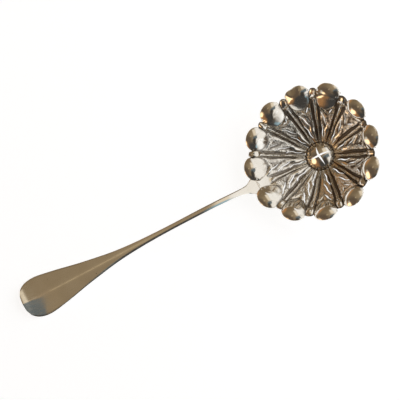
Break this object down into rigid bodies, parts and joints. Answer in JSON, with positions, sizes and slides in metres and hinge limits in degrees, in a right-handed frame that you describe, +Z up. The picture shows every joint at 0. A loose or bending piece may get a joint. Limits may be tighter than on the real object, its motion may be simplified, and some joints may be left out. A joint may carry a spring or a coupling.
{
  "type": "sugar sifter spoon",
  "caption": "Silver sugar sifter spoon: a shallow lobed bowl with ribs, pierced leaf panels and a slit central dome, soldered under its rim to a slender handle with a broad upturned end.",
  "frame": {"origin": "middle of the spoon's box in plan, on the table that it lies on", "axes": "+X along the spoon from the handle's end to the bowl, +Z up out of the bowl's open side, Y across"},
  "size_m": [0.2, 0.0702, 0.0332],
  "materials": {
    "bowl_silver": "sheet silver, embossed, chased and pierced by hand, lobes and dome polished, dark brown tarnish in the hollows",
    "handle_silver": "forged silver, polished, with fine wear scratches",
    "solder": "hard silver solder, filed and rubbed down"
  },
  "bodies": {
    "root": {"bowl": "bowl_silver", "handle": "handle_silver", "solder_front": "solder", "solder_back": "solder"}
  },
  "joints": []
}
